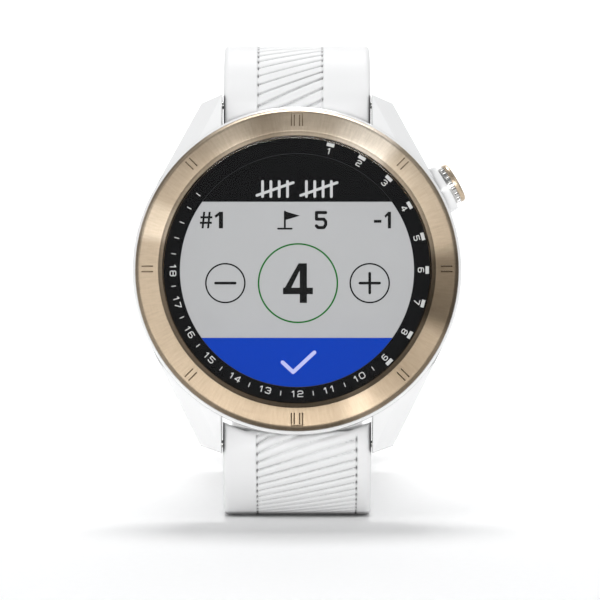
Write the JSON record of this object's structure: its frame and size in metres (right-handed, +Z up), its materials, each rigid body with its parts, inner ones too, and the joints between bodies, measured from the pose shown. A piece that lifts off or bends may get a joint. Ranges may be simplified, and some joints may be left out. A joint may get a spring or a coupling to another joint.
{
  "type": "golf gps watch",
  "caption": "Round golf GPS watch with a brushed bezel, touch display, push button and an unfastened silicone strap, leaning back on its lower strap half.",
  "frame": {"origin": "on the flat underside of the lower strap half, on the centre line, midway between its first two slots", "axes": "+Z up; the dial faces -Y and leans back by 8 degrees; +X to the wearer's right, at 3 o'clock"},
  "size_m": [0.0441, 0.1054, 0.0634],
  "materials": {
    "case_white": "glossy white moulded polymer",
    "gold_metal": "champagne gold finish, brushed around the dial",
    "steel": "machined stainless steel",
    "lens_glass": "clear polished cover glass",
    "dial_black": "black printed film with white scale",
    "scale_white": "white printed scale",
    "screen_grey": "reflective colour display, light grey field",
    "screen_blue": "display, blue field",
    "screen_green": "display, green ring",
    "silicone_white": "matte white silicone",
    "seal_black": "black sealing rubber",
    "inner_plastic": "dark glass-filled plastic",
    "circuit_green": "green solder mask",
    "chip_black": "black package epoxy",
    "tin_plate": "tinned sheet",
    "copper_flex": "amber flexible circuit",
    "foil_silver": "laminated foil pouch",
    "contact_gold": "gold-plated contacts",
    "cover_grey": "fine-textured light polymer"
  },
  "bodies": {
    "case": {"case_body": "case_white", "bezel_ring": "gold_metal", "cover_lens": "lens_glass", "scale_ring": "dial_black", "lens_gasket": "seal_black", "touch_sensor": "dial_black", "display_panel": "inner_plastic", "backlight": "inner_plastic", "display_flex": "copper_flex", "inner_frame": "inner_plastic", "main_board": "circuit_green", "shield_can": "tin_plate", "chips": "chip_black", "gnss_antenna": "copper_flex", "battery_pad": "seal_black", "battery": "foil_silver", "vibration_motor": "steel", "back_cover": "cover_grey", "back_gasket": "seal_black", "back_screws": "steel", "charging_contacts": "contact_gold", "contact_block": "inner_plastic", "button_tube": "steel", "button_switch": "inner_plastic", "button_spring": "steel"},
    "button": {"button_skirt": "steel", "button_cap": "gold_metal", "button_stem": "steel", "button_oring": "seal_black", "button_clip": "steel"},
    "upper_strap": {"strap_upper": "silicone_white", "upper_bar_tube": "steel", "upper_bar_spring": "steel", "fixed_keeper": "silicone_white"},
    "lower_strap": {"strap_lower": "silicone_white", "lower_bar_tube": "steel", "lower_bar_spring": "steel"},
    "upper_release": {"upper_release_pin": "steel"},
    "lower_release": {"lower_release_pin": "steel"},
    "buckle": {"buckle_frame": "gold_metal", "buckle_pin": "steel"},
    "tongue": {"buckle_tongue": "gold_metal"},
    "keeper": {"free_keeper": "silicone_white"}
  },
  "joints": [
    {"name": "button_press", "type": "slide", "parent": "case", "child": "button", "axis": [-0.866, -0.0696, -0.4951], "range_m": [0, 0.0006], "stiffness_N_per_m": 2500, "springref_m": -0.0003, "deforming": ["button_spring"]},
    {"name": "upper_strap_hinge", "type": "hinge", "parent": "case", "child": "upper_strap", "pos_m": [0, -0.01039, 0.05526], "axis": [1, 0, 0], "range_deg": [0, 70]},
    {"name": "lower_strap_hinge", "type": "hinge", "parent": "case", "child": "lower_strap", "pos_m": [0, -0.01671, 0.0103], "axis": [-1, 0, 0], "range_deg": [0, 70]},
    {"name": "upper_release_slide", "type": "slide", "parent": "upper_strap", "child": "upper_release", "axis": [-1, 0, 0], "range_m": [0, 0.0011], "stiffness_N_per_m": 400, "springref_m": -0.0004, "deforming": ["upper_bar_spring"]},
    {"name": "lower_release_slide", "type": "slide", "parent": "lower_strap", "child": "lower_release", "axis": [-1, 0, 0], "range_m": [0, 0.0011], "stiffness_N_per_m": 400, "springref_m": -0.0004, "deforming": ["lower_bar_spring"]},
    {"name": "buckle_hinge", "type": "hinge", "parent": "upper_strap", "child": "buckle", "pos_m": [0, 0.04809, 0.02479], "axis": [1, 0, 0], "range_deg": [-25, 80]},
    {"name": "tongue_hinge", "type": "hinge", "parent": "buckle", "child": "tongue", "pos_m": [0, 0.04809, 0.02479], "axis": [1, 0, 0], "range_deg": [0, 70]},
    {"name": "keeper_slide", "type": "slide", "parent": "upper_strap", "child": "keeper", "axis": [0, -0.6018, 0.7986], "range_m": [-0.0026, 0.0087]}
  ]
}
